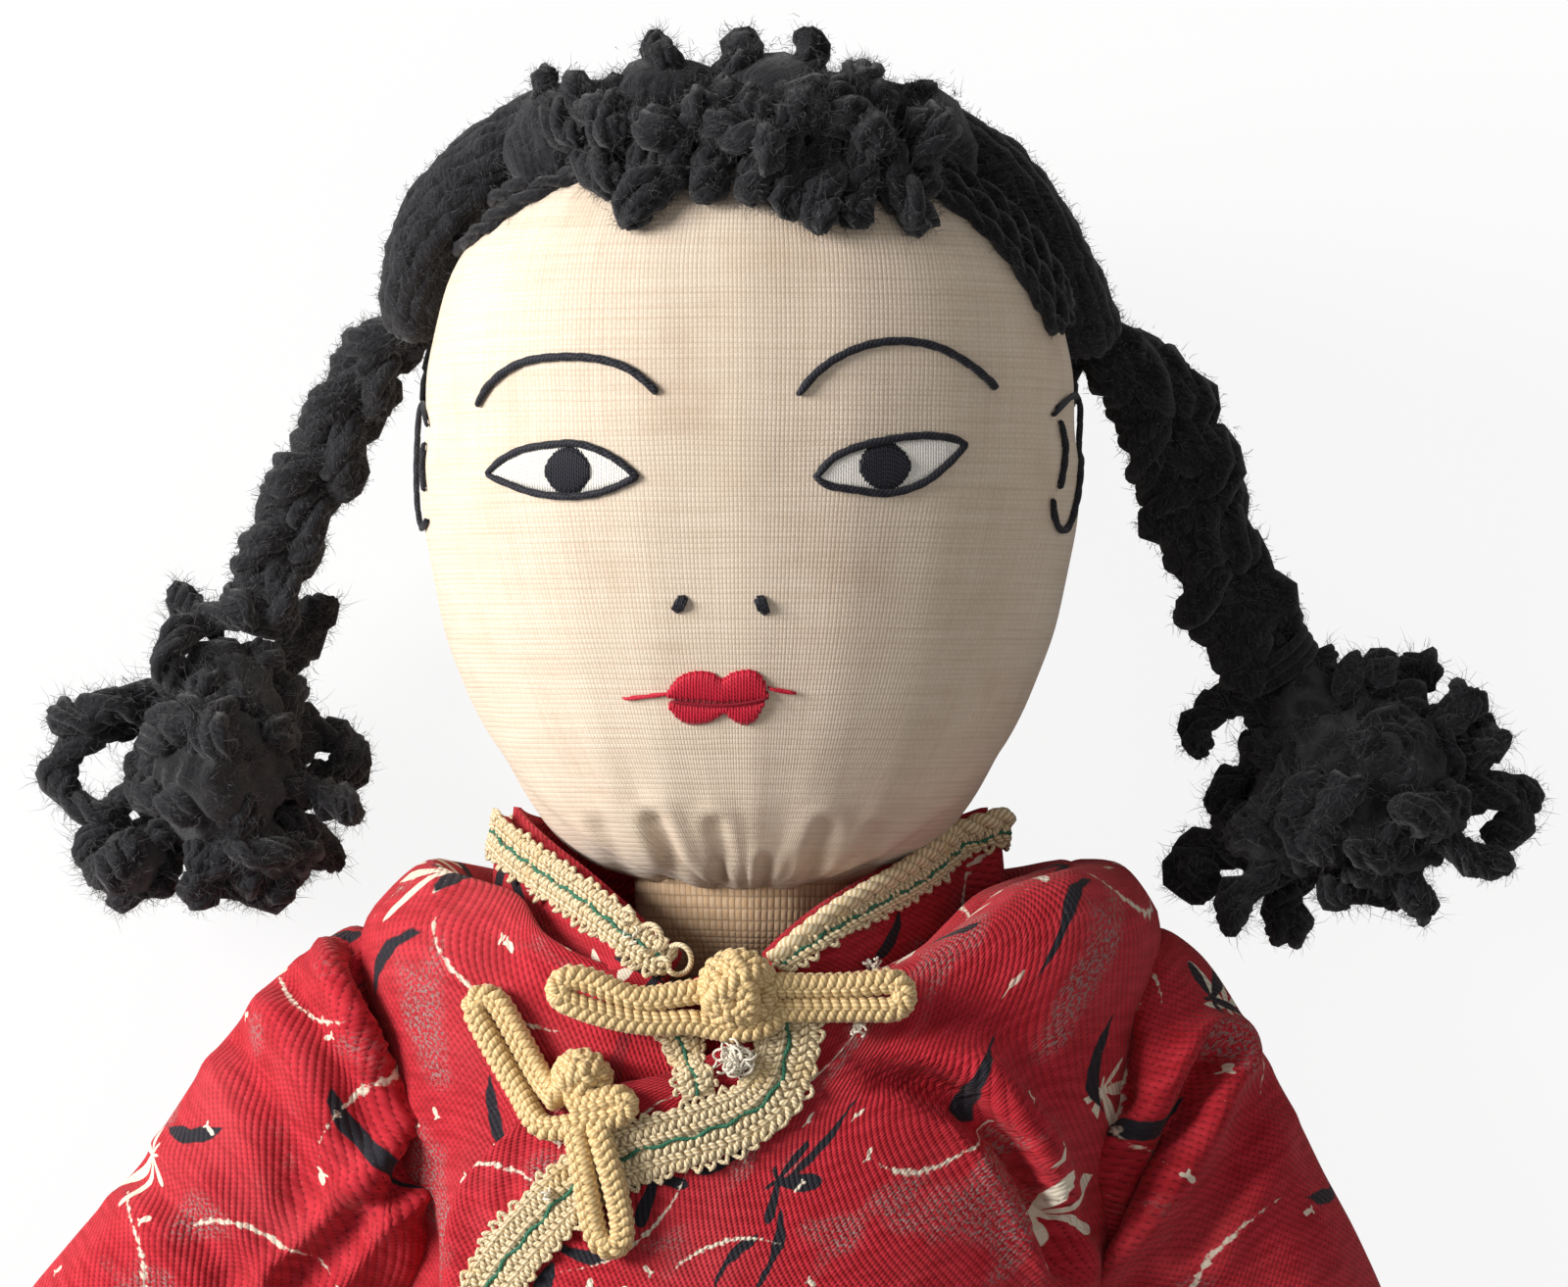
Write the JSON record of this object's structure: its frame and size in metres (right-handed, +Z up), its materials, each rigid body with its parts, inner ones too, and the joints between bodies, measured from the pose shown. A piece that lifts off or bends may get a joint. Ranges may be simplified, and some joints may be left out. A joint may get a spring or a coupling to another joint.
{
  "type": "rag doll",
  "caption": "Stuffed cloth rag doll with an embroidered face, wool braids with pom-poms, an overlapping jacket with knotted cord fastenings, trousers and cloth shoes.",
  "frame": {"origin": "on the floor under the middle of the jacket's back, where the doll rests lying on its back", "axes": "+Z up out of the face, +Y from the feet to the crown, -X towards the doll's right hand"},
  "size_m": [0.1837, 0.3056, 0.056],
  "materials": {
    "cream_cotton": "fine plain weave",
    "tan_canvas": "coarse plain weave",
    "white_stuffing": "loose fibre",
    "red_twill": "printed cotton twill",
    "cream_braid": "looped trimming braid with a green thread",
    "gold_cord": "braided cord",
    "black_wool": "fuzzy yarn",
    "black_thread": "embroidery thread",
    "red_thread": "embroidery thread",
    "dark_cotton": "plain weave",
    "black_shoe_cloth": "felted cloth"
  },
  "bodies": {
    "torso": {"torso_casing": "tan_canvas", "torso_stuffing": "white_stuffing", "jacket_back": "red_twill", "jacket_right_front": "red_twill", "jacket_left_front": "red_twill", "trouser_seat": "dark_cotton", "collar": "red_twill", "collar_trim": "cream_braid", "flap_trim": "cream_braid", "inner_trim": "cream_braid", "collar_frog_loop": "gold_cord", "collar_frog_bar": "gold_cord", "collar_knot": "gold_cord", "chest_frog_loop": "gold_cord", "chest_frog_bar": "gold_cord", "chest_knot": "gold_cord"},
    "neck": {"neck_casing": "tan_canvas", "neck_stuffing": "white_stuffing"},
    "head": {"head_casing": "cream_cotton", "head_stuffing": "white_stuffing", "hair_cap": "black_wool", "hair_roll": "black_wool", "hair_fringe": "black_wool", "right_brow": "black_thread", "left_brow": "black_thread", "right_eye_outline": "black_thread", "left_eye_outline": "black_thread", "right_pupil": "black_thread", "left_pupil": "black_thread", "right_nostril": "black_thread", "left_nostril": "black_thread", "lips": "red_thread", "mouth_line": "red_thread", "right_ear_outline": "black_thread", "left_ear_outline": "black_thread"},
    "right_braid": {"right_braid": "black_wool", "right_braid_binding": "black_wool", "right_pompom": "black_wool"},
    "right_arm": {"right_arm": "cream_cotton", "right_sleeve": "red_twill"},
    "right_leg": {"right_trouser_leg": "dark_cotton", "right_leg": "cream_cotton", "right_shoe": "black_shoe_cloth", "right_shoe_sole": "black_shoe_cloth"},
    "left_braid": {"left_braid": "black_wool", "left_braid_binding": "black_wool", "left_pompom": "black_wool"},
    "left_arm": {"left_arm": "cream_cotton", "left_sleeve": "red_twill"},
    "left_leg": {"left_trouser_leg": "dark_cotton", "left_leg": "cream_cotton", "left_shoe": "black_shoe_cloth", "left_shoe_sole": "black_shoe_cloth"}
  },
  "joints": [
    {"name": "neck_nod", "type": "hinge", "parent": "torso", "child": "neck", "pos_m": [0, 0.0445, 0.02], "axis": [1, 0, 0], "range_deg": [-5, 5]},
    {"name": "head_turn", "type": "hinge", "parent": "neck", "child": "head", "pos_m": [0, 0.0455, 0.02], "axis": [0, 1, 0], "range_deg": [-20, 20]},
    {"name": "right_braid_swing", "type": "hinge", "parent": "head", "child": "right_braid", "pos_m": [-0.0345, 0.0975, 0.024], "axis": [0, 0, -1], "range_deg": [-5, 50]},
    {"name": "left_braid_swing", "type": "hinge", "parent": "head", "child": "left_braid", "pos_m": [0.0345, 0.0975, 0.024], "axis": [0, 0, 1], "range_deg": [-5, 50]},
    {"name": "right_shoulder", "type": "hinge", "parent": "torso", "child": "right_arm", "pos_m": [-0.0334, 0.029, 0.018], "axis": [-1, 0, 0], "range_deg": [-20, 90]},
    {"name": "left_shoulder", "type": "hinge", "parent": "torso", "child": "left_arm", "pos_m": [0.0334, 0.029, 0.018], "axis": [-1, 0, 0], "range_deg": [-20, 90]},
    {"name": "right_hip", "type": "hinge", "parent": "torso", "child": "right_leg", "pos_m": [-0.015, -0.06, 0.016], "axis": [-1, 0, 0], "range_deg": [-20, 90]},
    {"name": "left_hip", "type": "hinge", "parent": "torso", "child": "left_leg", "pos_m": [0.015, -0.06, 0.016], "axis": [-1, 0, 0], "range_deg": [-20, 90]}
  ]
}
